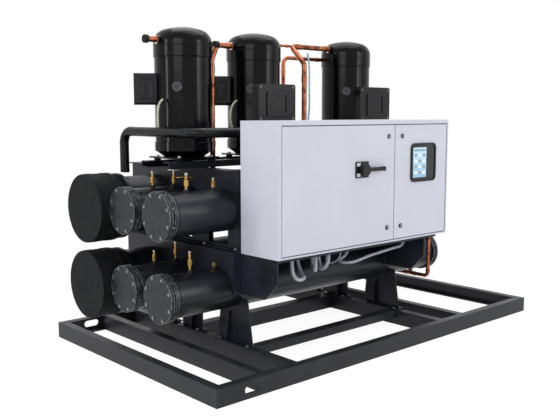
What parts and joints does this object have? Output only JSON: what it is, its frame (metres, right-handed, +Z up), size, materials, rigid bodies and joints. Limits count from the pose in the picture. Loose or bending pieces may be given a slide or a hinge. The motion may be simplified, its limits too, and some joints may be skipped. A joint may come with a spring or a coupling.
{
  "type": "water-cooled chiller",
  "caption": "Packaged water-cooled chiller on a steel skid: stacked horizontal heat exchangers under upright compressors, piping and a two-door control cabinet.",
  "frame": {"origin": "middle of the skid footprint, on the ground", "axes": "+X along the vessels, -Y towards the control cabinet, +Z up"},
  "size_m": [2.32, 1.365, 1.592],
  "materials": {
    "black_plastic": "matt black moulded",
    "box_cover": "dark moulded cover",
    "brass": "turned brass",
    "cabinet_paint": "semi-matt light grey powder coat",
    "cable_grey": "light grey corrugated plastic",
    "compressor_enamel": "gloss black enamel",
    "copper": "bare copper tube",
    "cover_paint": "satin dark grey over cast steel",
    "foam": "matt closed-cell foam skin",
    "frame_paint": "satin dark grey",
    "galvanised_steel": "zinc coated sheet",
    "pipe_insulation": "satin black",
    "rubber": "matt black",
    "screen_glass": "pale blue display behind a clear pane",
    "vessel_paint": "satin dark grey"
  },
  "bodies": {
    "chiller": {"back_rail": "frame_paint", "back_tie": "frame_paint", "cabinet": "cabinet_paint", "cabinet_bearer": "frame_paint", "cable_loop": "cable_grey", "cable_tray": "frame_paint", "compressor_1": "compressor_enamel", "compressor_2": "compressor_enamel", "compressor_3": "compressor_enamel", "compressor_bearers": "frame_paint", "compressor_grommets": "rubber", "conduit_1": "cable_grey", "conduit_2": "cable_grey", "conduit_3": "cable_grey", "cross_beams": "frame_paint", "discharge_pipe_2": "copper", "discharge_pipe_3": "copper", "discharge_stub": "copper", "front_box_2": "box_cover", "front_box_3": "box_cover", "front_lower_vessel": "vessel_paint", "front_lower_vessel_covers": "cover_paint", "front_rail": "frame_paint", "front_tie": "frame_paint", "front_upper_vessel": "vessel_paint", "front_upper_vessel_covers": "cover_paint", "left_end_rail": "frame_paint", "left_legs": "frame_paint", "left_lower_support": "frame_paint", "left_upper_support": "frame_paint", "liquid_pipe": "copper", "middle_lower_vessel": "vessel_paint", "middle_lower_vessel_covers": "cover_paint", "middle_upper_vessel": "vessel_paint", "middle_upper_vessel_covers": "cover_paint", "mounting_plate": "galvanised_steel", "rear_lower_vessel": "vessel_paint", "rear_lower_vessel_caps": "foam", "rear_upper_vessel": "vessel_paint", "rear_upper_vessel_caps": "foam", "return_pipe": "copper", "right_end_rail": "frame_paint", "right_legs": "frame_paint", "right_lower_support": "frame_paint", "right_upper_support": "frame_paint", "service_valves": "brass", "side_box_1": "box_cover", "side_box_2": "box_cover", "suction_header": "pipe_insulation", "wire_bundle": "cable_grey"},
    "left_door": {"left_door": "cabinet_paint", "isolator_plate": "black_plastic"},
    "right_door": {"right_door": "cabinet_paint", "screen_frame": "black_plastic", "screen_glass": "screen_glass"},
    "isolator_handle": {"isolator_handle": "black_plastic"}
  },
  "joints": [
    {"name": "left_door_hinge", "type": "hinge", "parent": "chiller", "child": "left_door", "pos_m": [-0.7015, -0.568, 0.8355], "axis": [0, 0, -1], "range_deg": [0, 110]},
    {"name": "right_door_hinge", "type": "hinge", "parent": "chiller", "child": "right_door", "pos_m": [0.4965, -0.568, 0.8355], "axis": [0, 0, 1], "range_deg": [0, 110]},
    {"name": "isolator_turn", "type": "hinge", "parent": "left_door", "child": "isolator_handle", "pos_m": [-0.181, -0.59, 0.906], "axis": [0, -1, 0], "range_deg": [0, 90]}
  ]
}
